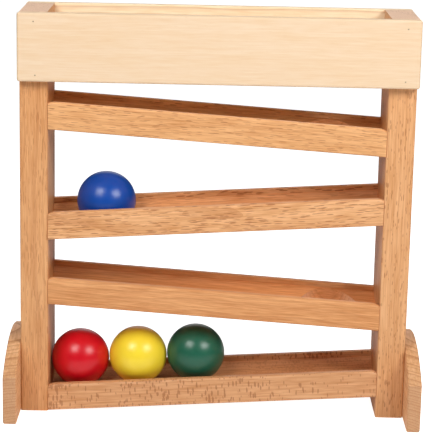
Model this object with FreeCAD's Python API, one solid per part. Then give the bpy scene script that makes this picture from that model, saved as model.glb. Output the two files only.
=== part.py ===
"""A wooden marble run.

Two upright beech boards stand on arched feet and carry three sloped ramps and a sloped
collecting tray, one above the other. A pale board is nailed across the front of the posts
at the top, and another across the back, and balls are dropped in between them. A ball
rolls down the channel of a ramp, drops through the hole at its low end onto the next ramp,
rolls back the other way, and ends in the tray.

Millimetres. X is to the right, Y to the back and Z up. The origin is on the ground, in the
middle of the run.
"""
import FreeCAD, Part

import math
import os

from collections import namedtuple

from FreeCAD import Vector

# Posts
POST_SPREAD = 347.5  # over their outer faces
POST_THICKNESS = 24.8
POST_DEPTH = 70.0
POST_HEIGHT = 364.0
POST_EDGE_RADIUS = 1.5

# Panels of the top box
PANEL_LENGTH = 350.0
PANEL_HEIGHT = 60.0
PANEL_THICKNESS = 9.0
PANEL_FACE_RADIUS = 2.0  # round the outer face, and at the corners
PANEL_EDGE_RADIUS = 0.8

# Ramps
RAMP_HEIGHT = 24.6  # measured upright, as all the heights of a ramp are
RAMP_DROP = 18.8  # from one post to the other
RAMP_OUTER_RADIUS = 2.5
RAMP_LOWER_RADIUS = 1.5
CHANNEL_WIDTH = 56.0
CHANNEL_DEPTH = 12.5
CHANNEL_FLOOR_RADIUS = 55.0
CHANNEL_LIP_RADIUS = 1.0
HOLE_RADIUS = 27.5
END_DIP_LENGTH = 6.0  # the front rails' tops are sanded down towards the posts
END_DIP_RADIUS = 12.5

# middle_height is its underside's at mid length, low_side is -1 for left and 1 for right, and
# hole_inset is from the post on that side to the drop hole's centre
Ramp = namedtuple("Ramp", "name middle_height low_side hole_inset")
UPPER_RAMP = Ramp("upper_ramp", 251.0, 1, 46.0)
SECOND_RAMP = Ramp("second_ramp", 170.1, -1, 50.0)
THIRD_RAMP = Ramp("third_ramp", 91.5, 1, 43.0)
BOTTOM_TRAY = Ramp("bottom_tray", 10.0, -1, None)
RAMPS = (UPPER_RAMP, SECOND_RAMP, THIRD_RAMP, BOTTOM_TRAY)

# Feet
FOOT_THICKNESS = 12.0
FOOT_DEPTH = 148.0
FOOT_SHOULDER_HEIGHT = 44.0  # where the straight front ends and the arch starts
FOOT_HEIGHT = 69.0
FOOT_CORNER_RADIUS = 3.0
FOOT_EDGE_RADIUS = 1.5

# Balls
BALL_RADIUS = 26.5
BALL_GAP = 0.3  # between a ball and what it rests on or against

# Fasteners
FIT_GAP = 0.1  # glue or drilling room all round a fastener
DOWEL_RADIUS = 4.0
DOWEL_LENGTH = 35.0
DOWEL_CHAMFER = 0.8
DOWEL_SPACING = 44.0
DOWEL_HEIGHT = 8.5  # over the ramp's underside
NAIL_RADIUS = 0.5
NAIL_LENGTH = 28.0
NAIL_POINT_LENGTH = 2.0
NAIL_HEAD_RADIUS = 0.7
NAIL_HEAD_THICKNESS = 0.6
NAIL_PROUD = 0.1
FRONT_NAILS = ((-160.4, 356.6), (-159.1, 309.8), (162.8, 356.2), (162.2, 310.3))  # x and height
BACK_NAILS = ((-161.4, 357.0), (-161.4, 311.0), (161.4, 357.0), (161.4, 311.0))
SCREW_RADIUS = 2.0
SCREW_LENGTH = 32.0
SCREW_HEAD_RADIUS = 4.0
SCREW_HEAD_HEIGHT = 2.6
SCREW_POINT_LENGTH = 5.0
SCREW_RECESS_DEPTH = 1.6
SCREW_SLOT_LENGTH = 4.4
SCREW_SLOT_WIDTH = 1.0
SCREW_HEIGHTS = (20.0, 50.0)

# Worked out
POST_OUTER = POST_SPREAD / 2
POST_INNER = POST_OUTER - POST_THICKNESS
HALF_DEPTH = POST_DEPTH / 2
HALF_CHANNEL = CHANNEL_WIDTH / 2
PANEL_BOTTOM = POST_HEIGHT - PANEL_HEIGHT
FLOOR_HEIGHT = RAMP_HEIGHT - CHANNEL_DEPTH
SLOPE = RAMP_DROP / (2 * POST_INNER)
LONG = 1000.0  # longer than anything here
TINY = 1e-6

RIGHT = Vector(1, 0, 0)
BACK = Vector(0, 1, 0)
UP = Vector(0, 0, 1)


def block(low, high):
    """A box from its lowest corner to its highest."""
    size = high - low
    return Part.makeBox(size.x, size.y, size.z, low)


def rounded_path(corners):
    """Edges through the corners, given as (point, radius), with an arc in each inner corner."""
    edges = []
    start = corners[0][0]
    for index in range(1, len(corners) - 1):
        corner, radius = corners[index]
        arriving = (corners[index - 1][0] - corner).normalize()
        leaving = (corners[index + 1][0] - corner).normalize()
        half_angle = arriving.getAngle(leaving) / 2
        setback = radius / math.tan(half_angle)
        arc_start = corner + arriving * setback
        arc_end = corner + leaving * setback
        inward = (arriving + leaving).normalize()
        arc_middle = corner + inward * (radius / math.sin(half_angle) - radius)
        edges.append(Part.LineSegment(start, arc_start).toShape())
        edges.append(Part.Arc(arc_start, arc_middle, arc_end).toShape())
        start = arc_end
    edges.append(Part.LineSegment(start, corners[-1][0]).toShape())
    return edges


def edges_along(shape, direction):
    """The shape's straight edges that run along a direction."""
    found = []
    for edge in shape.Edges:
        straight = isinstance(edge.Curve, Part.Line)
        if straight and edge.Curve.Direction.cross(direction).Length < TINY:
            found.append(edge)
    return found


def edges_at_depth(shape, y):
    """The shape's edges that lie in the upright plane at a depth."""
    return [edge for edge in shape.Edges
            if abs(edge.BoundBox.YMin - y) < TINY and abs(edge.BoundBox.YMax - y) < TINY]


def save(shape, name):
    shape.exportStep(f"parts/{name}.step")


# Fasteners, each made with its own size or, with a gap, as the hole that it fills

def dowel(side, y, ramp, gap=0.0):
    """A glued dowel, half in the post on one side and half in the ramp."""
    height = underside(ramp, side * POST_INNER) + DOWEL_HEIGHT
    length = DOWEL_LENGTH + 2 * gap
    start = Vector(side * POST_INNER - length / 2, y, height)
    pin = Part.makeCylinder(DOWEL_RADIUS + gap, length, start, RIGHT)
    if gap:
        return pin
    return pin.makeChamfer(DOWEL_CHAMFER, [edge for edge in pin.Edges if edge.Closed])


def nail(x, height, depth_side, gap=0.0):
    """A nail through a panel into a post; depth_side is -1 in the front and 1 in the back."""
    head_face = HALF_DEPTH + PANEL_THICKNESS + NAIL_PROUD
    head_back = head_face - NAIL_HEAD_THICKNESS - gap
    tip = head_face - NAIL_LENGTH - gap
    neck = tip + NAIL_POINT_LENGTH

    def along(distance):
        return Vector(x, depth_side * distance, height)

    inward = BACK * -depth_side
    head = Part.makeCylinder(NAIL_HEAD_RADIUS + gap, head_face - head_back, along(head_face), inward)
    shank = Part.makeCylinder(NAIL_RADIUS + gap, head_back - neck, along(head_back), inward)
    point = Part.makeCone(NAIL_RADIUS + gap, 0, NAIL_POINT_LENGTH, along(neck), inward)
    return head.fuse(shank).fuse(point).removeSplitter()


def screw(side, height, gap=0.0):
    """A countersunk screw through a foot into its post, with a cross recess."""
    face = POST_OUTER + FOOT_THICKNESS
    inward = RIGHT * -side
    start = Vector(side * face, 0, height)
    shank_length = SCREW_LENGTH - SCREW_POINT_LENGTH
    head = Part.makeCone(SCREW_HEAD_RADIUS + gap, SCREW_RADIUS + gap, SCREW_HEAD_HEIGHT, start, inward)
    shank = Part.makeCylinder(SCREW_RADIUS + gap, shank_length + gap, start, inward)
    point = Part.makeCone(
        SCREW_RADIUS + gap, 0, SCREW_POINT_LENGTH, start + inward * (shank_length + gap), inward)
    body = head.fuse(shank).fuse(point).removeSplitter()
    if gap:
        return body
    for long_axis, short_axis in ((BACK, UP), (UP, BACK)):
        reach = (long_axis * SCREW_SLOT_LENGTH + short_axis * SCREW_SLOT_WIDTH) / 2
        depth = RIGHT * SCREW_RECESS_DEPTH
        body = body.cut(block(start - reach - depth, start + reach + depth))
    return body


def ramp_dowels(ramp, gap=0.0):
    places = (-DOWEL_SPACING / 2, DOWEL_SPACING / 2)
    return [dowel(side, y, ramp, gap) for side in (-1, 1) for y in places]


def panel_nails(depth_side, gap=0.0):
    places = FRONT_NAILS if depth_side < 0 else BACK_NAILS
    return [nail(x, height, depth_side, gap) for x, height in places]


def foot_screws(side, gap=0.0):
    return [screw(side, height, gap) for height in SCREW_HEIGHTS]


# Ramps

def underside(ramp, x):
    """The height of a ramp's underside at x."""
    return ramp.middle_height - ramp.low_side * SLOPE * x


def ramp_section(x, z):
    """A ramp's upright cross-section at x, standing on the height z."""
    floor_centre_to_wall = math.sqrt(CHANNEL_FLOOR_RADIUS ** 2 - HALF_CHANNEL ** 2)
    wall_bottom = FLOOR_HEIGHT + CHANNEL_FLOOR_RADIUS - floor_centre_to_wall

    def at(y, height):
        return Vector(x, y, z + height)

    outline = rounded_path([
        (at(HALF_CHANNEL, wall_bottom), 0),
        (at(HALF_CHANNEL, RAMP_HEIGHT), CHANNEL_LIP_RADIUS),
        (at(HALF_DEPTH, RAMP_HEIGHT), RAMP_OUTER_RADIUS),
        (at(HALF_DEPTH, 0), RAMP_LOWER_RADIUS),
        (at(-HALF_DEPTH, 0), RAMP_LOWER_RADIUS),
        (at(-HALF_DEPTH, RAMP_HEIGHT), RAMP_OUTER_RADIUS),
        (at(-HALF_CHANNEL, RAMP_HEIGHT), CHANNEL_LIP_RADIUS),
        (at(-HALF_CHANNEL, wall_bottom), 0),
    ])
    floor = Part.Arc(at(-HALF_CHANNEL, wall_bottom), at(0, FLOOR_HEIGHT), at(HALF_CHANNEL, wall_bottom))
    return Part.Face(Part.Wire(outline + [floor.toShape()]))


def end_dip(side, top):
    """What is sanded off the front rail's top beside a post."""
    end = side * POST_INNER
    inner = end - side * END_DIP_LENGTH
    corner = block(
        Vector(min(inner, end), -POST_DEPTH, top - END_DIP_LENGTH),
        Vector(max(inner, end), 0, top + END_DIP_LENGTH))
    round_end = Part.makeCylinder(
        END_DIP_RADIUS, POST_DEPTH, Vector(inner, -POST_DEPTH, top - END_DIP_RADIUS), BACK)
    return corner.cut(round_end)


def ramp_board(ramp):
    """A ramp with its channel, its drop hole and its dowel holes."""
    left = underside(ramp, -POST_INNER)
    right = underside(ramp, POST_INNER)
    board = ramp_section(-POST_INNER, left).extrude(Vector(2 * POST_INNER, 0, right - left))
    cuts = ramp_dowels(ramp, FIT_GAP)
    for side, height in ((-1, left), (1, right)):
        cuts.append(end_dip(side, height + RAMP_HEIGHT))
    if ramp.hole_inset:
        centre = hole_centre(ramp)
        cuts.append(Part.makeCylinder(HOLE_RADIUS, LONG, centre - UP * LONG / 2, UP))
    return board.cut(cuts)


def hole_centre(ramp):
    """The drop hole's centre, at the height of the ramp's underside."""
    x = ramp.low_side * (POST_INNER - ramp.hole_inset)
    return Vector(x, 0, underside(ramp, x))


# Frame

def post(side):
    """An upright board with the holes for its dowels, nails and screws."""
    low = Vector(min(side * POST_INNER, side * POST_OUTER), -HALF_DEPTH, 0)
    board = block(low, low + Vector(POST_THICKNESS, POST_DEPTH, POST_HEIGHT))
    board = board.makeFillet(POST_EDGE_RADIUS, edges_along(board, UP))
    holes = panel_nails(-1, FIT_GAP) + panel_nails(1, FIT_GAP) + foot_screws(side, FIT_GAP)
    for ramp in RAMPS:
        holes += ramp_dowels(ramp, FIT_GAP)
    return board.cut(holes)


def panel(depth_side):
    """A board across the posts, at the front for -1 and at the back for 1."""
    inner = depth_side * HALF_DEPTH
    outer = depth_side * (HALF_DEPTH + PANEL_THICKNESS)
    low = Vector(-PANEL_LENGTH / 2, min(inner, outer), PANEL_BOTTOM)
    board = block(low, low + Vector(PANEL_LENGTH, PANEL_THICKNESS, PANEL_HEIGHT))
    board = board.makeFillet(PANEL_FACE_RADIUS, edges_along(board, BACK) + edges_at_depth(board, outer))
    board = board.makeFillet(PANEL_EDGE_RADIUS, edges_at_depth(board, inner))
    return board.cut(panel_nails(depth_side, FIT_GAP))


def foot(side):
    """An arched board on a post's outer face, longer than the post is deep."""
    half = FOOT_DEPTH / 2
    inner = side * POST_OUTER

    def at(y, height):
        return Vector(inner, y, height)

    sides = rounded_path([
        (at(-half, FOOT_SHOULDER_HEIGHT), 0),
        (at(-half, 0), FOOT_CORNER_RADIUS),
        (at(half, 0), FOOT_CORNER_RADIUS),
        (at(half, FOOT_SHOULDER_HEIGHT), 0),
    ])
    arch = Part.Arc(at(half, FOOT_SHOULDER_HEIGHT), at(0, FOOT_HEIGHT), at(-half, FOOT_SHOULDER_HEIGHT))
    outline = Part.Face(Part.Wire(sides + [arch.toShape()]))
    board = outline.extrude(RIGHT * side * FOOT_THICKNESS)
    rims = [edge for edge in board.Edges if edge.BoundBox.XLength < FOOT_THICKNESS / 2]
    board = board.makeFillet(FOOT_EDGE_RADIUS, rims)
    return board.cut(foot_screws(side, FIT_GAP))


# Balls

def tray_ball_centre(place):
    """The centre of a ball in the row in the tray; place 0 is against the left post."""
    slope_angle = math.atan(SLOPE)
    step = (2 * BALL_RADIUS + BALL_GAP) * math.cos(slope_angle)
    x = -POST_INNER + BALL_GAP + BALL_RADIUS + place * step
    rise = (BALL_RADIUS + BALL_GAP) / math.cos(slope_angle)
    return Vector(x, 0, underside(BOTTOM_TRAY, x) + FLOOR_HEIGHT + rise)


def dropping_ball_centre():
    """The centre of the ball in the second ramp's hole, its lowest point level with the underside."""
    return hole_centre(SECOND_RAMP) + UP * BALL_RADIUS


def ball(centre):
    return Part.makeSphere(BALL_RADIUS, centre)


def build():
    os.makedirs("parts", exist_ok=True)
    for side, word in ((-1, "left"), (1, "right")):
        save(post(side), f"{word}_post")
        save(foot(side), f"{word}_foot")
        save(Part.makeCompound(foot_screws(side)), f"{word}_foot_screws")
    for depth_side, word in ((-1, "front"), (1, "back")):
        save(panel(depth_side), f"{word}_panel")
        save(Part.makeCompound(panel_nails(depth_side)), f"{word}_panel_nails")
    for ramp in RAMPS:
        save(ramp_board(ramp), ramp.name)
        save(Part.makeCompound(ramp_dowels(ramp)), f"{ramp.name}_dowels")
    for place, colour in enumerate(("red", "yellow", "green")):
        save(ball(tray_ball_centre(place)), f"{colour}_ball")
    save(ball(dropping_ball_centre()), "blue_ball")


build()
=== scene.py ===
"""The looks of a wooden marble run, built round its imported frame.

Posts, feet, ramps and tray are planed and oiled beech, each board cut from its own place in
the log. The two long boards of the top box are sanded limewood, left bare, and the balls are
turned beech under a coloured lacquer. Metres, in the frame's own axes: X to the right, Y to
the back, Z up.
"""

import math

from collections import namedtuple

import bmesh
import bpy
from mathutils import Euler, Matrix, Vector


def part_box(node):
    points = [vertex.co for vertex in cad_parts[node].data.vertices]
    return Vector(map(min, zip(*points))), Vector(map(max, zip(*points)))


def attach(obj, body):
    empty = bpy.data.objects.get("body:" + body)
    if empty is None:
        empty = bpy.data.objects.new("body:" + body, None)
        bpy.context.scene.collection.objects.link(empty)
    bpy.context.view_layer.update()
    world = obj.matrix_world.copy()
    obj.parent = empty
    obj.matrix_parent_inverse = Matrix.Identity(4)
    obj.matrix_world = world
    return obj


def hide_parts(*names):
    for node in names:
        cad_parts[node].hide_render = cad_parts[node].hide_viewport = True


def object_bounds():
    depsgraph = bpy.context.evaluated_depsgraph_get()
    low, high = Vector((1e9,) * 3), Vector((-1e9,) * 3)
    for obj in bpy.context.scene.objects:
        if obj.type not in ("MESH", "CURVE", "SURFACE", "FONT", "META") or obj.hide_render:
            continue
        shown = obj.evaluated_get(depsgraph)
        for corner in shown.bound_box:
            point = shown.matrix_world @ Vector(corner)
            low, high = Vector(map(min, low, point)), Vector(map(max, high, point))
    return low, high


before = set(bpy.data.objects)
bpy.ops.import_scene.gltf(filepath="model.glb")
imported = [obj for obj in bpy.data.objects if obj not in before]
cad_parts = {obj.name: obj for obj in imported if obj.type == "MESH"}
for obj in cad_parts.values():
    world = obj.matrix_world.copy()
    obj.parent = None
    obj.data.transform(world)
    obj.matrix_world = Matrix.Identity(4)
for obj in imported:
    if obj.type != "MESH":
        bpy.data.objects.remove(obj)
cad_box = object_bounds()

MM = 0.001
TINY = 1e-6
RIGHT = Vector((1, 0, 0))
BACK = Vector((0, 1, 0))
UP = Vector((0, 0, 1))


# ---------------------------------------------------------------- camera, light and ground

CAMERA_PLACE = Vector((-0.0016, -1.5687, 0.5479))
CAMERA_PITCH = math.radians(13.32)  # down
CAMERA_YAW = math.radians(0.041)  # to the left
CAMERA_ROLL = math.radians(1.16)  # anticlockwise, so the run leans the other way
CAMERA_LENS = 147.3  # mm, for a sensor 36 mm on its long side
SENSOR = 36.0

# azimuth is to the right of the front, in degrees, as elevation is
Softbox = namedtuple("Softbox", "name azimuth elevation distance width height watts in_highlights")
SOFTBOXES = (
    Softbox("left_softbox", -35, 41, 1.3, 0.56, 0.5, 9.2, True),
    Softbox("right_softbox", 45, 35, 1.3, 0.64, 0.5, 10.6, True),
    Softbox("top_softbox", 180, 72, 1.3, 0.4, 0.4, 3.2, False),
)
SOFTBOX_TINT = "#fffdfa"
BACKDROP_WHITE = 1.05  # the backdrop's brightness as the eye sees it
STUDIO_DIM = 0.04  # the dark studio all round, as the surfaces see it
BACKDROP_GLOW = 1.15  # the lit patch of backdrop, as the surfaces see it too
BACKDROP_PLACE = (0, 0.96, 0.28)  # the direction of its middle
BACKDROP_EDGE = 0.94  # the cosine of the angle from its middle at which it has faded out
GROUND_SIZE = 6.0
GROUND_GLOW = 0.15  # what the light table gives the run
GROUND_WHITE = 0.93  # what the eye gets from it, so that the shadows on it stay pale
GROUND_CLOUDS = 6.0  # patches to a metre
GROUND_ROUGHNESS = (0.5, 0.6)


def add_camera():
    camera = bpy.data.cameras.new("camera")
    camera.lens = CAMERA_LENS
    camera.sensor_width = SENSOR
    holder = bpy.data.objects.new("camera", camera)
    upright = Euler((math.pi / 2 - CAMERA_PITCH, 0, CAMERA_YAW)).to_matrix()
    rolled = upright @ Matrix.Rotation(CAMERA_ROLL, 3, "Z")
    holder.matrix_world = Matrix.Translation(CAMERA_PLACE) @ rolled.to_4x4()
    bpy.context.scene.collection.objects.link(holder)
    bpy.context.scene.camera = holder


def add_softbox(box):
    """A soft light aimed at the middle of the run."""
    light = bpy.data.lights.new(box.name, "AREA")
    light.shape = "RECTANGLE"
    light.size = box.width
    light.size_y = box.height
    light.energy = box.watts
    light.color = linear(SOFTBOX_TINT)[:3]
    azimuth = math.radians(box.azimuth)
    elevation = math.radians(box.elevation)
    outward = Vector((
        math.sin(azimuth) * math.cos(elevation),
        -math.cos(azimuth) * math.cos(elevation),
        math.sin(elevation),
    ))
    holder = bpy.data.objects.new(box.name, light)
    middle = (cad_box[0] + cad_box[1]) / 2
    holder.location = middle + outward * box.distance
    holder.rotation_mode = "QUATERNION"
    holder.rotation_quaternion = (-outward).to_track_quat("-Z", "Y")
    holder.visible_glossy = box.in_highlights
    bpy.context.scene.collection.objects.link(holder)


# ---------------------------------------------------------------- shader nodes

MIX_FACTOR, MIX_A, MIX_B, MIX_RESULT = 0, 6, 7, 2  # the colour sockets of a Mix node


def linear(hex_colour):
    """An sRGB hex colour as linear RGBA."""
    channels = [int(hex_colour[start:start + 2], 16) / 255 for start in (1, 3, 5)]
    lit = [c / 12.92 if c <= 0.04045 else ((c + 0.055) / 1.055) ** 2.4 for c in channels]
    return (*lit, 1.0)


def add_node(tree, kind, settings=None, inputs=None):
    """Adds a shader node. Each input is a value, or another node's output to link."""
    made = tree.nodes.new("ShaderNode" + kind)
    for name, value in (settings or {}).items():
        setattr(made, name, value)
    for key, value in (inputs or {}).items():
        if isinstance(value, bpy.types.NodeSocket):
            tree.links.new(value, made.inputs[key])
        else:
            made.inputs[key].default_value = value
    return made


def new_material(name):
    """A material's empty tree and the shader that its surface shows."""
    material = bpy.data.materials.new(name)
    material.use_nodes = True
    tree = material.node_tree
    tree.nodes.clear()
    shader = add_node(tree, "BsdfPrincipled")
    add_node(tree, "OutputMaterial", inputs={"Surface": shader.outputs["BSDF"]})
    return material, tree, shader


def give_surface(tree, shader, colour, patches, roughness, height, bump, relief):
    """Gives a shader its colour, a roughness that varies in patches, and a relief in mm."""
    rough = add_node(tree, "MapRange", inputs={
        "Value": patches, "To Min": roughness[0], "To Max": roughness[1]})
    bumps = add_node(tree, "Bump", inputs={
        "Strength": bump, "Distance": relief * MM, "Height": height})
    for socket, name in (
            (colour, "Base Color"),
            (rough.outputs["Result"], "Roughness"),
            (bumps.outputs["Normal"], "Normal")):
        tree.links.new(socket, shader.inputs[name])


def add_world():
    """A white backdrop to the eye; to every surface, a dim studio with one bright patch."""
    world = bpy.data.worlds.new("studio")
    bpy.context.scene.world = world
    world.use_nodes = True
    tree = world.node_tree
    tree.nodes.clear()
    backdrop = add_node(tree, "Background", inputs={
        "Color": linear("#ffffff"), "Strength": BACKDROP_WHITE})
    closeness = add_node(tree, "VectorMath", {"operation": "DOT_PRODUCT"}, {
        0: add_node(tree, "TexCoord").outputs["Generated"], 1: BACKDROP_PLACE})
    glow = add_node(tree, "MapRange", {"interpolation_type": "SMOOTHSTEP"}, {
        "Value": closeness.outputs["Value"], "From Min": BACKDROP_EDGE,
        "To Min": STUDIO_DIM, "To Max": BACKDROP_GLOW})
    studio = add_node(tree, "Background", inputs={
        "Color": linear("#ffffff"), "Strength": glow.outputs["Result"]})
    path = add_node(tree, "LightPath")
    choice = add_node(tree, "MixShader", inputs={
        "Fac": path.outputs["Is Camera Ray"],
        1: studio.outputs["Background"],
        2: backdrop.outputs["Background"],
    })
    add_node(tree, "OutputWorld", inputs={"Surface": choice.outputs["Shader"]})


def light_table():
    """Opal acrylic lit a little from below: white to the eye, with pale soft shadows."""
    material, tree, shader = new_material("opal_acrylic_light_table")
    place = add_node(tree, "TexCoord")
    cloud = add_node(tree, "TexNoise", inputs={
        "Vector": place.outputs["Object"], "Scale": GROUND_CLOUDS})
    rough = add_node(tree, "MapRange", inputs={
        "Value": cloud.outputs["Fac"],
        "To Min": GROUND_ROUGHNESS[0],
        "To Max": GROUND_ROUGHNESS[1],
    })
    tree.links.new(rough.outputs["Result"], shader.inputs["Roughness"])
    shader.inputs["Base Color"].default_value = linear("#f4f4f4")
    shader.inputs["Emission Color"].default_value = linear("#ffffff")
    path = add_node(tree, "LightPath")
    glow = add_node(tree, "MapRange", inputs={
        "Value": path.outputs["Is Camera Ray"], "To Min": GROUND_GLOW, "To Max": GROUND_WHITE})
    tree.links.new(glow.outputs["Result"], shader.inputs["Emission Strength"])
    return material


def add_ground():
    mesh = bpy.data.meshes.new("ground")
    shape = bmesh.new()
    bmesh.ops.create_grid(shape, x_segments=1, y_segments=1, size=GROUND_SIZE / 2)
    shape.to_mesh(mesh)
    shape.free()
    mesh.materials.append(light_table())
    ground = bpy.data.objects.new("ground", mesh)
    bpy.context.scene.collection.objects.link(ground)


# ---------------------------------------------------------------- wood

# Sizes are in millimetres, and strengths and shares from 0 to 1.
# pale, deep: the fibres' two colours
# late, late_strength, ring_width: the dark late edge of each year's ring
# ray, ray_strength: a ray is a thin sheet of cells, along the grain and out from the pith
# ray_size: the room a ray has along the grain, round the log, and out from the pith
# ray_share, ray_patches: how much of that room it fills, and how much that varies
# end_grain: the colour of a face sawn across the grain
# wander: how far the grain strays from straight
# roughness: at the smoothest and the roughest fibres
Timber = namedtuple("Timber", (
    "pale deep late ray end_grain ring_width wander ray_size ray_share ray_strength "
    "ray_patches late_strength roughness"))

# Beech, planed and oiled: warm tan with a satin sheen. Its rays show as short dark dashes, and
# as upright flecks where the board is sawn along them. They are 0.1 to 0.3 mm thick, and drawn
# 0.9 to 1.6 mm thick, or they wouldn't show. Its end grain is a pale pink, lighter than its side
# grain: partly the end grain's own tone, partly a painted sheen on the post tops, where light
# falls from above.
BEECH = Timber(
    pale="#ecb67f", deep="#ca8b52", late="#b5723f", ray="#9a592b", end_grain="#f0cdb1",
    ring_width=2.1, wander=7.0, ray_size=(13.0, 1.4, 3.5), ray_share=0.32, ray_strength=0.65,
    ray_patches=0.15, late_strength=0.4, roughness=(0.40, 0.54))
WAVY_BEECH = BEECH._replace(
    pale="#efba88", wander=10.0, ray_size=(13.0, 1.5, 4.0), ray_share=0.37, ray_strength=0.75)
FINE_BEECH = BEECH._replace(pale="#e4ac77", deep="#cb8c55", ray_strength=0.5)
PLAIN_BEECH = BEECH._replace(pale="#e7aa72", deep="#c7834a", ray_strength=0.15)
SPOTTED_BEECH = BEECH._replace(
    pale="#e8b280", deep="#ce915a", ray_size=(8.0, 1.8, 3.5), ray_share=0.29,
    ray_strength=0.55, ray_patches=0.4)
QUARTERED_BEECH = BEECH._replace(
    pale="#e0ab7d", deep="#c68b59", ray="#9c6036", ray_size=(2.3, 2.1, 9.0), ray_share=0.38,
    ray_patches=0.4, ring_width=3.2)
RINGED_BEECH = BEECH._replace(
    pale="#f2c294", deep="#d79d69", end_grain="#c2936d", wander=2.0, ring_width=2.6,
    late_strength=0.8, ray_strength=0.15)

# Limewood, sanded and left bare: pale cream, matt and nearly plain. Cut close to the pith, as
# the back board is, its rings show as long flames. The back board is paler than the front one:
# painted light on its inner face, which lies partly in the front board's shade.
LIMEWOOD = Timber(
    pale="#e9d0b3", deep="#e4c5a0", late="#d9ac7c", ray="#d5a87e", end_grain="#dcb890",
    ring_width=5.5, wander=9.0, ray_size=(9.0, 1.5, 8.0), ray_share=0.2, ray_strength=0.1,
    ray_patches=0.15, late_strength=0.12, roughness=(0.55, 0.68))
FLAMED_LIMEWOOD_PAINTED_LIGHT = LIMEWOOD._replace(
    pale="#fdeccb", deep="#f4d8b0", late="#c48a52", ring_width=5.0, late_strength=0.5)

# A milled channel is tinted redder and darker than the planed faces: painted shade for the light
# that bounces between its wooden walls. The cutter smeared its rays, so less of them shows.
MILLED_CHANNEL_PAINTED_SHADE = "#ffefe2"
MILLED_RAYS = 0.4

# Sizes of the changes in the grain, in millimetres: along the grain, round the log, and out
# from the pith.
TONE_SIZE = (130, 16, 7)  # the board's darker and paler streaks
FIBRE_SIZE = (22, 1.5, 1.5)  # bundles of fibres, coarser than real ones so that they show
RAY_BEND_SIZE = (6, 3, 6)
RAY_PATCH_SIZE = (40, 12, 60)
WANDER_SIZE = (200, 45, 45)  # along the grain, and both ways across it
FINE_DETAIL = 3.0  # octaves of noise

RAY_BEND = (0.5, 0.5, 0.5)  # how far a ray strays, as a share of its room
RAY_EDGE = 0.12  # a ray's soft edge, as a share of its room
PATCH_LIMITS = (0.35, 0.65)  # the noise that gives the thinnest and the thickest rays
RING_UNEVENNESS = 1.6  # in rings
RING_CHANGE_RATE = 0.4  # changes to a ring
LATE_WOOD_POWER = 4.0  # higher is a thinner dark edge
TONE_SHARE = 0.6  # of the streaks, next to the fibres
DEPTH_LIMITS = (0.6, 1.05)  # the sum of both at the palest and the deepest
END_GRAIN_LIMITS = (0.3, 0.9)  # the cosine of the angle between the grain and the face's normal
END_GRAIN_STRENGTH = 0.7
RAY_HOLLOW = -0.5  # a ray planes a little lower than the fibres
WOOD_BUMP = 0.3
WOOD_RELIEF = 0.12


def log_place(tree, centre, turn, from_pith):
    """Millimetres in the log: x along the grain, and y and z out from the pith."""
    place = add_node(tree, "TexCoord")
    offset = Vector(from_pith) - turn.to_matrix() @ centre / MM
    mapping = add_node(tree, "Mapping", inputs={
        "Vector": place.outputs["Object"],
        "Location": offset,
        "Rotation": turn,
        "Scale": (1 / MM, 1 / MM, 1 / MM),
    })
    return mapping.outputs["Vector"]


def cloud(tree, place, size, detail=2.0):
    """Noise in patches of a size, which is in the place's own units."""
    steps = add_node(tree, "VectorMath", {"operation": "DIVIDE"}, {0: place, 1: size})
    return add_node(tree, "TexNoise", inputs={
        "Vector": steps.outputs["Vector"], "Scale": 1.0, "Detail": detail})


def wandering(tree, place, reach):
    """The place in the log, moved about a little so that its grain isn't straight."""
    noise = cloud(tree, place, WANDER_SIZE)
    shift = add_node(tree, "VectorMath", {"operation": "MULTIPLY_ADD"}, {
        0: noise.outputs["Color"], 1: (0, reach, reach), 2: (0, -reach / 2, -reach / 2)})
    moved = add_node(tree, "VectorMath", {"operation": "ADD"}, {
        0: place, 1: shift.outputs["Vector"]})
    return moved.outputs["Vector"]


def round_the_log(tree, place, reach):
    """x along the grain, y round the log at a reach from the pith, and z out from the pith."""
    parts = add_node(tree, "SeparateXYZ", inputs={"Vector": place})
    across = add_node(tree, "VectorMath", {"operation": "MULTIPLY"}, {0: place, 1: (0, 1, 1)})
    radius = add_node(tree, "VectorMath", {"operation": "LENGTH"}, {0: across.outputs["Vector"]})
    angle = add_node(tree, "Math", {"operation": "ARCTAN2"}, {
        0: parts.outputs["Z"], 1: parts.outputs["Y"]})
    along_ring = add_node(tree, "Math", {"operation": "MULTIPLY"}, {
        0: angle.outputs["Value"], 1: reach})
    joined = add_node(tree, "CombineXYZ", inputs={
        "X": parts.outputs["X"],
        "Y": along_ring.outputs["Value"],
        "Z": radius.outputs["Value"],
    })
    return joined.outputs["Vector"]


def late_wood(tree, place, ring_width):
    """0 in a ring's early wood, and 1 at its dark late edge."""
    parts = add_node(tree, "SeparateXYZ", inputs={"Vector": place})
    rings = add_node(tree, "Math", {"operation": "DIVIDE"}, {0: parts.outputs["Z"], 1: ring_width})
    uneven = add_node(tree, "TexNoise", {"noise_dimensions": "1D"}, {
        "W": rings.outputs["Value"], "Scale": RING_CHANGE_RATE})
    age = add_node(tree, "Math", {"operation": "MULTIPLY_ADD"}, {
        0: uneven.outputs["Fac"], 1: RING_UNEVENNESS, 2: rings.outputs["Value"]})
    share = add_node(tree, "Math", {"operation": "FRACT"}, {0: age.outputs["Value"]})
    edge = add_node(tree, "Math", {"operation": "POWER"}, {
        0: share.outputs["Value"], 1: LATE_WOOD_POWER})
    return edge.outputs["Value"]


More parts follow.
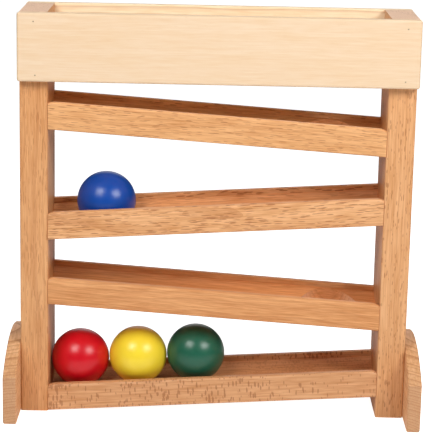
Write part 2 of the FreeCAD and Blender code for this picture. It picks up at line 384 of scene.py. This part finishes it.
def rays(tree, place, timber):
    """1 inside a ray and 0 outside, with thick and thin patches over the board."""
    straight = add_node(tree, "VectorMath", {"operation": "DIVIDE"}, {
        0: place, 1: timber.ray_size})
    bend = cloud(tree, place, RAY_BEND_SIZE, detail=1.0)
    bent = add_node(tree, "VectorMath", {"operation": "MULTIPLY_ADD"}, {
        0: bend.outputs["Color"], 1: RAY_BEND, 2: straight.outputs["Vector"]})
    rooms = add_node(tree, "TexVoronoi", inputs={"Vector": bent.outputs["Vector"], "Scale": 1.0})
    patch = cloud(tree, place, RAY_PATCH_SIZE)
    limit = add_node(tree, "MapRange", inputs={
        "Value": patch.outputs["Fac"],
        "From Min": PATCH_LIMITS[0],
        "From Max": PATCH_LIMITS[1],
        "To Min": timber.ray_share * (1 - timber.ray_patches),
        "To Max": timber.ray_share * (1 + timber.ray_patches),
    })
    inside = add_node(tree, "Math", {"operation": "SUBTRACT"}, {
        0: limit.outputs["Result"], 1: rooms.outputs["Distance"]})
    soft = add_node(tree, "MapRange", {"interpolation_type": "SMOOTHSTEP"}, {
        "Value": inside.outputs["Value"], "From Min": 0.0, "From Max": RAY_EDGE})
    return soft.outputs["Result"]


def end_grain_share(tree, turn):
    """1 on a face sawn across the grain, and 0 on one sawn along it."""
    place = add_node(tree, "TexCoord")
    grain = turn.to_matrix().inverted() @ RIGHT
    facing = add_node(tree, "VectorMath", {"operation": "DOT_PRODUCT"}, {
        0: place.outputs["Normal"], 1: grain})
    size = add_node(tree, "Math", {"operation": "ABSOLUTE"}, {0: facing.outputs["Value"]})
    share = add_node(tree, "MapRange", {"interpolation_type": "SMOOTHSTEP"}, {
        "Value": size.outputs["Value"],
        "From Min": END_GRAIN_LIMITS[0],
        "From Max": END_GRAIN_LIMITS[1],
    })
    return share.outputs["Result"]


def wood(name, timber, centre, turn, from_pith, milled=False):
    """Wood cut from one place in a log, so that each face shows the rings and rays it would."""
    material, tree, shader = new_material(name)
    log = log_place(tree, centre, turn, from_pith)
    reach = Vector(from_pith[1:]).length
    place = round_the_log(tree, wandering(tree, log, timber.wander), reach)

    tone = cloud(tree, place, TONE_SIZE, FINE_DETAIL)
    fibre = cloud(tree, place, FIBRE_SIZE, FINE_DETAIL)
    both = add_node(tree, "Math", {"operation": "MULTIPLY_ADD"}, {
        0: tone.outputs["Fac"], 1: TONE_SHARE, 2: fibre.outputs["Fac"]})
    depth = add_node(tree, "MapRange", inputs={
        "Value": both.outputs["Value"],
        "From Min": DEPTH_LIMITS[0],
        "From Max": DEPTH_LIMITS[1],
    })
    fibres = add_node(tree, "Mix", {"data_type": "RGBA"}, {
        MIX_FACTOR: depth.outputs["Result"],
        MIX_A: linear(timber.pale),
        MIX_B: linear(timber.deep),
    })
    colour = fibres.outputs[MIX_RESULT]
    ray = rays(tree, place, timber)
    # On beech, the end grain's colour also holds a painted sheen on the post tops.
    for share, strength, hex_colour in (
            (end_grain_share(tree, turn), END_GRAIN_STRENGTH, timber.end_grain),
            (late_wood(tree, place, timber.ring_width), timber.late_strength, timber.late),
            (ray, timber.ray_strength * (MILLED_RAYS if milled else 1), timber.ray)):
        part = add_node(tree, "Math", {"operation": "MULTIPLY"}, {0: share, 1: strength})
        layer = add_node(tree, "Mix", {"data_type": "RGBA"}, {
            MIX_FACTOR: part.outputs["Value"], MIX_A: colour, MIX_B: linear(hex_colour)})
        colour = layer.outputs[MIX_RESULT]
    # The channel's painted shade: a redder, darker tint for the light that bounces inside it.
    if milled:
        painted_shade_colour = add_node(tree, "Mix", {"data_type": "RGBA", "blend_type": "MULTIPLY"}, {
            MIX_FACTOR: 1.0, MIX_A: colour, MIX_B: linear(MILLED_CHANNEL_PAINTED_SHADE)})
        colour = painted_shade_colour.outputs[MIX_RESULT]

    height = add_node(tree, "Math", {"operation": "MULTIPLY_ADD"}, {
        0: ray, 1: RAY_HOLLOW, 2: fibre.outputs["Fac"]})
    give_surface(
        tree, shader, colour, fibre.outputs["Fac"], timber.roughness,
        height.outputs["Value"], WOOD_BUMP, WOOD_RELIEF)
    return material


# ---------------------------------------------------------------- lacquer and steel

# Sizes are in millimetres.
BALL_PITH = (0, 8, 5)  # how far the ball's middle is from the pith
BALL_REACH = 10.0
BALL_RING_WIDTH = 2.4
LACQUER_FLOW_SIZE = (18, 18, 18)
THICK_LACQUER_VALUE = 0.86  # how bright it is where it ran thick
LACQUER_ROUGHNESS = (0.28, 0.34)
ORANGE_PEEL_SIZE = (2.2, 2.2, 2.2)
RINGS_UNDER_LACQUER = 0.2  # how high the rings stand, next to the orange peel
LACQUER_BUMP = 0.2
LACQUER_RELIEF = 0.03

TARNISH_SIZE = (MM, MM, MM)  # in metres, because steel has no place in a log
TARNISH_ROUGHNESS = 0.08  # either side of the mean
STEEL_BUMP = 0.3
STEEL_RELIEF = 0.05


def lacquer(name, hex_colour, centre, turn):
    """Turned beech under coloured lacquer: satin gloss, a faint orange peel and the wood below."""
    material, tree, shader = new_material(name)
    place = log_place(tree, centre, turn, BALL_PITH)
    flow = cloud(tree, place, LACQUER_FLOW_SIZE)
    thick = add_node(tree, "HueSaturation", inputs={
        "Value": THICK_LACQUER_VALUE, "Color": linear(hex_colour)})
    coat = add_node(tree, "Mix", {"data_type": "RGBA"}, {
        MIX_FACTOR: flow.outputs["Fac"],
        MIX_A: linear(hex_colour),
        MIX_B: thick.outputs["Color"],
    })
    peel = cloud(tree, place, ORANGE_PEEL_SIZE)
    rings = late_wood(tree, round_the_log(tree, place, BALL_REACH), BALL_RING_WIDTH)
    height = add_node(tree, "Math", {"operation": "MULTIPLY_ADD"}, {
        0: rings, 1: RINGS_UNDER_LACQUER, 2: peel.outputs["Fac"]})
    give_surface(
        tree, shader, coat.outputs[MIX_RESULT], flow.outputs["Fac"], LACQUER_ROUGHNESS,
        height.outputs["Value"], LACQUER_BUMP, LACQUER_RELIEF)
    return material


def steel(name, clean, stained, roughness):
    """Steel with a drawn or plated surface that has dulled in patches."""
    material, tree, shader = new_material(name)
    place = add_node(tree, "TexCoord")
    patch = cloud(tree, place.outputs["Object"], TARNISH_SIZE, FINE_DETAIL)
    film = add_node(tree, "Mix", {"data_type": "RGBA"}, {
        MIX_FACTOR: patch.outputs["Fac"], MIX_A: linear(clean), MIX_B: linear(stained)})
    shader.inputs["Metallic"].default_value = 1.0
    limits = (roughness - TARNISH_ROUGHNESS, roughness + TARNISH_ROUGHNESS)
    give_surface(
        tree, shader, film.outputs[MIX_RESULT], patch.outputs["Fac"], limits,
        patch.outputs["Fac"], STEEL_BUMP, STEEL_RELIEF)
    return material


# ---------------------------------------------------------------- shaping

SMOOTH_UNDER = math.radians(35)
PARALLEL_WITHIN = 0.01  # the sine of the angle


def box_shape(node):
    """A block that fills a CAD node's box."""
    low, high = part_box(node)
    shape = bmesh.new()
    bmesh.ops.create_cube(shape, size=1.0)
    bmesh.ops.scale(shape, vec=high - low, verts=shape.verts)
    bmesh.ops.translate(shape, vec=(low + high) / 2, verts=shape.verts)
    return shape


def soften(shape, edges, radius, segments=4):
    """Rounds edges over, as sandpaper does."""
    bmesh.ops.bevel(
        shape, geom=edges, offset=radius, offset_type="OFFSET", affect="EDGES",
        segments=segments, profile=0.5, material=-1, clamp_overlap=True)


def edges_where(shape, test):
    """The edges that have both their ends where a test says."""
    return [edge for edge in shape.edges if all(test(end.co) for end in edge.verts)]


def edges_along(shape, direction):
    found = []
    for edge in shape.edges:
        run = (edge.verts[1].co - edge.verts[0].co).normalized()
        if run.cross(direction).length < PARALLEL_WITHIN:
            found.append(edge)
    return found


def extruded(shape, outline, vector):
    """Makes a solid from an outline's face."""
    face = shape.faces.new([shape.verts.new(point) for point in outline])
    made = bmesh.ops.extrude_face_region(shape, geom=[face])
    ends = [part for part in made["geom"] if isinstance(part, bmesh.types.BMVert)]
    bmesh.ops.translate(shape, vec=vector, verts=ends)


def drilled(shape, cutter):
    """The shape with the cutter's solid taken out of it. Both are used up."""
    holders = []
    for solid in (shape, cutter):
        bmesh.ops.recalc_face_normals(solid, faces=solid.faces)
        mesh = bpy.data.meshes.new("drilling")
        solid.to_mesh(mesh)
        solid.free()
        holder = bpy.data.objects.new("drilling", mesh)
        bpy.context.scene.collection.objects.link(holder)
        holders.append(holder)
    board, bit = holders
    cut = board.modifiers.new("drilling", "BOOLEAN")
    cut.operation = "DIFFERENCE"
    cut.solver = "EXACT"
    cut.object = bit
    result = bmesh.new()
    result.from_object(board, bpy.context.evaluated_depsgraph_get())
    for holder in holders:
        bpy.data.meshes.remove(holder.data)  # which takes its holder with it
    return result


def add_piece(name, node, body, shape, material):
    """Makes a finished piece of a shape, which it uses up, in place of a CAD node."""
    bmesh.ops.recalc_face_normals(shape, faces=shape.faces)
    mesh = bpy.data.meshes.new(name)
    shape.to_mesh(mesh)
    shape.free()
    mesh.materials.append(material)
    mesh.shade_smooth()
    mesh.set_sharp_from_angle(angle=SMOOTH_UNDER)
    piece = bpy.data.objects.new(name, mesh)
    bpy.context.scene.collection.objects.link(piece)
    even = piece.modifiers.new("flat faces shade flat", "WEIGHTED_NORMAL")
    even.keep_sharp = True
    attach(piece, body)
    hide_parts(node)
    return piece


# ---------------------------------------------------------------- boards

POST_ARRIS = 1.5 * MM
END_ARRIS = 0.5 * MM  # a sawn end's edges are only just broken
PANEL_FACE_ARRIS = 2.0 * MM  # round the outer face, and at the corners
PANEL_ARRIS = 0.8 * MM

RAMP_HEIGHT = 24.6 * MM  # measured upright, as all the heights of a ramp are
RAMP_DROP = 18.8 * MM  # from one post to the other
RAMP_TOP_ARRIS = 2.5 * MM
RAMP_LOWER_ARRIS = 1.5 * MM
HALF_CHANNEL = 28.0 * MM
CHANNEL_DEPTH = 12.5 * MM
CHANNEL_RADIUS = 55.0 * MM
CHANNEL_LIP = 1.0 * MM
CHANNEL_STEPS = 24
HOLE_RADIUS = 27.5 * MM
HOLE_ARRIS = 0.4 * MM
HOLE_STEPS = 96
BORING_TOLERANCE = 10 * TINY
BIT_LENGTH = 4 * RAMP_HEIGHT  # well past both faces
END_DIP_LENGTH = 6.0 * MM  # the front rails' tops are sanded down towards the posts
END_DIP_RADIUS = 12.5 * MM
END_DIP_STEPS = 6

FOOT_SHOULDER = 44.0 * MM  # where the straight front ends and the arch starts
FOOT_CORNER = 3.0 * MM
FOOT_ARRIS = 1.5 * MM
ARCH_STEPS = 32
SCREW_HEAD_RADIUS = 4.0 * MM
SCREW_HEAD_HEIGHT = 2.6 * MM
SCREW_SHANK_RADIUS = 2.0 * MM
SCREW_ROOM = 0.1 * MM
COUNTERSINK_STEPS = 48

# How a board lies in the log: these turn its grain to X, and its from_pith is its centre's
# place in the log in millimetres, along the grain and then two ways out from the pith.
UPRIGHT_GRAIN = Euler((0, math.pi / 2, 0))
DEPTH_GRAIN = Euler((0, 0, -math.pi / 2))
LEVEL_GRAIN = Euler((0, 0, 0))

# low_side is -1 for left and 1 for right, and hole_inset is from the post on that side.
Ramp = namedtuple("Ramp", "node low_side hole_inset timber from_pith")
RAMPS = (
    Ramp("upper_ramp", 1, 46.0 * MM, BEECH, (200, 110, 20)),
    Ramp("second_ramp", -1, 50.0 * MM, WAVY_BEECH, (1000, 125, -15)),
    Ramp("third_ramp", 1, 43.0 * MM, PLAIN_BEECH, (1700, 140, 30)),
    Ramp("bottom_tray", -1, None, QUARTERED_BEECH, (2500, 26, 80)),
)
FACES_DOWN = -0.5  # a face whose normal's height is below this is an underside


def ramp_grain(ramp):
    low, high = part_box(ramp.node)
    return Euler((0, -ramp.low_side * math.atan2(RAMP_DROP, high.x - low.x), 0))


def centre_of(node):
    low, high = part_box(node)
    return (low + high) / 2


def add_posts():
    for side, timber, from_pith in (
            ("left", FINE_BEECH, (400, 105, -20)),
            ("right", SPOTTED_BEECH, (900, 80, 45))):
        node = f"{side}_post"
        shape = box_shape(node)
        soften(shape, edges_along(shape, UP), POST_ARRIS)
        low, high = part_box(node)
        for level in (low.z, high.z):
            rim = edges_where(shape, lambda place: abs(place.z - level) < TINY)
            soften(shape, rim, END_ARRIS, segments=2)
        oiled = wood(f"{node}_oiled_beech", timber, centre_of(node), UPRIGHT_GRAIN, from_pith)
        add_piece(f"{node}_timber", node, "stand", shape, oiled)


def add_panels():
    for side, timber, from_pith in (
            ("front", LIMEWOOD, (300, 70, 95)),
            ("back", FLAMED_LIMEWOOD_PAINTED_LIGHT, (1400, -16, 8))):
        node = f"{side}_panel"
        low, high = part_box(node)
        outer, inner = (low.y, high.y) if side == "front" else (high.y, low.y)
        shape = box_shape(node)
        outer_rim = edges_where(shape, lambda place: abs(place.y - outer) < TINY)
        soften(shape, outer_rim + edges_along(shape, BACK), PANEL_FACE_ARRIS)
        inner_rim = edges_where(shape, lambda place: abs(place.y - inner) < TINY)
        soften(shape, inner_rim, PANEL_ARRIS, segments=3)
        bare = wood(f"{node}_bare_limewood", timber, centre_of(node), LEVEL_GRAIN, from_pith)
        add_piece(f"{node}_timber", node, "stand", shape, bare)


def ramp_outline(x, half_depth, underside):
    """A ramp's upright cross-section, round from the top of its back rail."""
    corners = [
        (HALF_CHANNEL, RAMP_HEIGHT), (half_depth, RAMP_HEIGHT), (half_depth, 0),
        (-half_depth, 0), (-half_depth, RAMP_HEIGHT), (-HALF_CHANNEL, RAMP_HEIGHT),
    ]
    half_angle = math.asin(HALF_CHANNEL / CHANNEL_RADIUS)
    floor_centre = RAMP_HEIGHT - CHANNEL_DEPTH + CHANNEL_RADIUS
    for step in range(CHANNEL_STEPS + 1):
        angle = half_angle * (2 * step / CHANNEL_STEPS - 1)
        corners.append((
            CHANNEL_RADIUS * math.sin(angle), floor_centre - CHANNEL_RADIUS * math.cos(angle)))
    return [Vector((x, y, underside + height)) for y, height in corners]


def sand_end_dips(shape, ends, underside):
    """Brings the front rail's top down in a round beside each post."""
    for side, end in zip((-1, 1), ends):
        start = end - side * END_DIP_LENGTH
        for step in range(END_DIP_STEPS):
            place = start + side * END_DIP_LENGTH * step / END_DIP_STEPS
            bmesh.ops.bisect_plane(
                shape, geom=shape.verts[:] + shape.edges[:] + shape.faces[:],
                plane_co=(place, 0, 0), plane_no=RIGHT)
        for corner in shape.verts:
            beyond = (corner.co.x - start) * side
            height = corner.co.z - underside(corner.co.x)
            in_front = corner.co.y < -HALF_CHANNEL + TINY
            if in_front and beyond > 0 and height > RAMP_HEIGHT - RAMP_TOP_ARRIS - TINY:
                corner.co.z -= END_DIP_RADIUS - math.sqrt(END_DIP_RADIUS ** 2 - beyond ** 2)


def bore_hole(shape, centre):
    """Bores a ramp's upright drop hole and breaks its edges."""
    bit = bmesh.new()
    bmesh.ops.create_cone(
        bit, cap_ends=True, segments=HOLE_STEPS, radius1=HOLE_RADIUS, radius2=HOLE_RADIUS,
        depth=BIT_LENGTH)
    bmesh.ops.translate(bit, vec=centre, verts=bit.verts)
    shape = drilled(shape, bit)

    def on_wall(place):
        return abs((place.xy - centre.xy).length - HOLE_RADIUS) < BORING_TOLERANCE

    upright = edges_along(shape, UP)
    rim = [edge for edge in edges_where(shape, on_wall) if edge not in upright]
    soften(shape, rim, HOLE_ARRIS, segments=2)
    return shape


def ramp_shape(ramp):
    low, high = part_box(ramp.node)
    length = high.x - low.x
    rise = -ramp.low_side * RAMP_DROP
    left_height = low.z + max(-rise, 0)

    def underside(x):
        return left_height + rise * (x - low.x) / length

    shape = bmesh.new()
    extruded(shape, ramp_outline(low.x, high.y, left_height), (length, 0, rise))
    for y, height, radius in (
            (high.y, RAMP_HEIGHT, RAMP_TOP_ARRIS),
            (high.y, 0, RAMP_LOWER_ARRIS),
            (HALF_CHANNEL, RAMP_HEIGHT, CHANNEL_LIP)):
        def on_corner(place):
            return abs(abs(place.y) - y) < TINY and abs(place.z - underside(place.x) - height) < TINY

        corners = [edge for edge in edges_where(shape, on_corner)
                   if abs(edge.verts[0].co.x - edge.verts[1].co.x) > length / 2]
        soften(shape, corners, radius)
    sand_end_dips(shape, (low.x, high.x), underside)
    if ramp.hole_inset:
        end = low.x if ramp.low_side < 0 else high.x
        hole_x = end - ramp.low_side * ramp.hole_inset
        shape = bore_hole(shape, Vector((hole_x, 0, underside(hole_x))))
    return shape


def add_ramps():
    """Each ramp is planed all over, apart from its milled channel and drop hole."""
    for ramp in RAMPS:
        cut = (ramp.timber, centre_of(ramp.node), ramp_grain(ramp), ramp.from_pith)
        planed = wood(f"{ramp.node}_planed_oiled_beech", *cut)
        # The milled channel's material, which carries its painted shade.
        milled = wood(f"{ramp.node}_milled_beech_painted_shade", *cut, milled=True)
        piece = add_piece(
            f"{ramp.node}_timber", ramp.node, "stand", ramp_shape(ramp), planed)
        piece.data.materials.append(milled)
        for face in piece.data.polygons:
            if abs(face.center.y) < HALF_CHANNEL and face.normal.z > FACES_DOWN:
                face.material_index = 1


def foot_outline(x, half, top):
    """A foot's outline from the side, round from its lower front corner."""
    rise = top - FOOT_SHOULDER
    radius = (half ** 2 + rise ** 2) / (2 * rise)
    half_angle = math.asin(half / radius)
    corners = [(-half, 0), (half, 0)]
    for step in range(ARCH_STEPS + 1):
        angle = half_angle * (1 - 2 * step / ARCH_STEPS)
        corners.append((radius * math.sin(angle), top - radius + radius * math.cos(angle)))
    return [Vector((x, y, z)) for y, z in corners]


def countersinks(side, face, heights):
    """Cones for the screw heads, which reach a little out of the foot's face."""
    flare = (SCREW_HEAD_RADIUS - SCREW_SHANK_RADIUS) / SCREW_HEAD_HEIGHT
    depth = SCREW_HEAD_HEIGHT + 2 * SCREW_ROOM
    middle = SCREW_HEAD_RADIUS + SCREW_ROOM - flare * SCREW_HEAD_HEIGHT / 2
    bit = bmesh.new()
    for height in heights:
        made = bmesh.ops.create_cone(
            bit, cap_ends=True, segments=COUNTERSINK_STEPS, depth=depth,
            radius1=middle - flare * depth / 2, radius2=middle + flare * depth / 2)
        lying = Matrix.Rotation(side * math.pi / 2, 3, "Y")
        bmesh.ops.rotate(bit, cent=(0, 0, 0), matrix=lying, verts=made["verts"])
        bmesh.ops.translate(
            bit, vec=(face - side * SCREW_HEAD_HEIGHT / 2, 0, height), verts=made["verts"])
    return bit


def add_feet():
    for side, word, from_pith in ((-1, "left", (100, 8, 70)), (1, "right", (600, -14, 64))):
        node = f"{word}_foot"
        low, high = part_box(node)
        inner, outer = (high.x, low.x) if side < 0 else (low.x, high.x)
        shape = bmesh.new()
        extruded(shape, foot_outline(inner, high.y, high.z), (outer - inner, 0, 0))

        def on_lower_corner(place):
            return place.z < TINY and abs(abs(place.y) - high.y) < TINY

        corners = [edge for edge in edges_along(shape, RIGHT)
                   if all(on_lower_corner(end.co) for end in edge.verts)]
        soften(shape, corners, FOOT_CORNER, segments=6)
        for level in (inner, outer):
            rim = edges_where(shape, lambda place: abs(place.x - level) < TINY)
            soften(shape, rim, FOOT_ARRIS, segments=3)
        screws_low, screws_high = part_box(f"{word}_foot_screws")
        heights = (screws_low.z + SCREW_HEAD_RADIUS, screws_high.z - SCREW_HEAD_RADIUS)
        shape = drilled(shape, countersinks(side, outer, heights))
        oiled = wood(
            f"{node}_oiled_beech", RINGED_BEECH, centre_of(node), DEPTH_GRAIN, from_pith)
        add_piece(f"{node}_timber", node, "stand", shape, oiled)


# ---------------------------------------------------------------- balls

BALL_STEPS = 96
LATHE_MARK_ANGLE = math.radians(4)
LATHE_MARK_DEPTH = 0.12 * MM

FIRST_BALL_TURN = Vector((0.7, 0, 0))  # how the first ball lies, in radians
NEXT_BALL_TURN = Vector((1.0, 0.4, 1.3))  # from one ball to the next
LACQUERS = {"red": "#d5061e", "yellow": "#ffe43a", "green": "#20624c", "blue": "#0b4aaa"}


def turned_shape(radius):
    """A ball spun round its lathe axis, with the faint hollows where the lathe held it."""
    shape = bmesh.new()
    pole = shape.verts.new((0, 0, -radius))
    bmesh.ops.spin(
        shape, geom=[pole], axis=BACK, cent=(0, 0, 0), angle=-math.pi, steps=BALL_STEPS // 2)
    for point in shape.verts:
        from_pole = math.acos(min(abs(point.co.z) / radius, 1.0))
        closeness = max(1 - from_pole / LATHE_MARK_ANGLE, 0)
        point.co *= 1 - LATHE_MARK_DEPTH / radius * closeness ** 2
    bmesh.ops.spin(
        shape, geom=shape.verts[:] + shape.edges[:], axis=UP, cent=(0, 0, 0),
        angle=2 * math.pi, steps=BALL_STEPS, use_merge=True)
    bmesh.ops.remove_doubles(shape, verts=shape.verts, dist=TINY)
    return shape


def add_balls():
    for number, (colour, hex_colour) in enumerate(LACQUERS.items()):
        node = f"{colour}_ball"
        low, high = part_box(node)
        centre = centre_of(node)
        turn = Euler(FIRST_BALL_TURN + number * NEXT_BALL_TURN)
        shape = turned_shape((high.z - low.z) / 2)
        bmesh.ops.rotate(shape, cent=(0, 0, 0), matrix=turn.to_matrix(), verts=shape.verts)
        bmesh.ops.translate(shape, vec=centre, verts=shape.verts)
        paint = lacquer(f"{colour}_lacquer_over_turned_beech", hex_colour, centre, turn)
        add_piece(f"{node}_turned", node, node, shape, paint)


# ---------------------------------------------------------------- fasteners

DOWEL_STEP = 50  # one ramp's dowels to the next, in millimetres along the log
DOWEL_PITH = (30, 10)


def dress(node, material):
    """Gives a CAD node its material."""
    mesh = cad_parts[node].data
    mesh.materials.clear()
    mesh.materials.append(material)


def dress_fasteners():
    """Nails of drawn steel, dull with a brown film, brighter plated screws, and bare dowels."""
    nail_steel = steel(
        "drawn_nail_steel", clean="#d2c2ac", stained="#96785c", roughness=0.5)
    zinc = steel(
        "zinc_plated_screw_steel", clean="#c9c4b4", stained="#a39c86", roughness=0.34)
    for side in ("front", "back"):
        dress(f"{side}_panel_nails", nail_steel)
    for side in ("left", "right"):
        dress(f"{side}_foot_screws", zinc)
    for number, ramp in enumerate(RAMPS):
        node = f"{ramp.node}_dowels"
        from_pith = (DOWEL_STEP * number, *DOWEL_PITH)
        dress(node, wood(f"{node}_bare_beech", BEECH, centre_of(node), LEVEL_GRAIN, from_pith))


bpy.context.scene.view_settings.view_transform = "Standard"
add_camera()
add_world()
for softbox in SOFTBOXES:
    add_softbox(softbox)
add_ground()
add_posts()
add_panels()
add_ramps()
add_feet()
add_balls()
dress_fasteners()
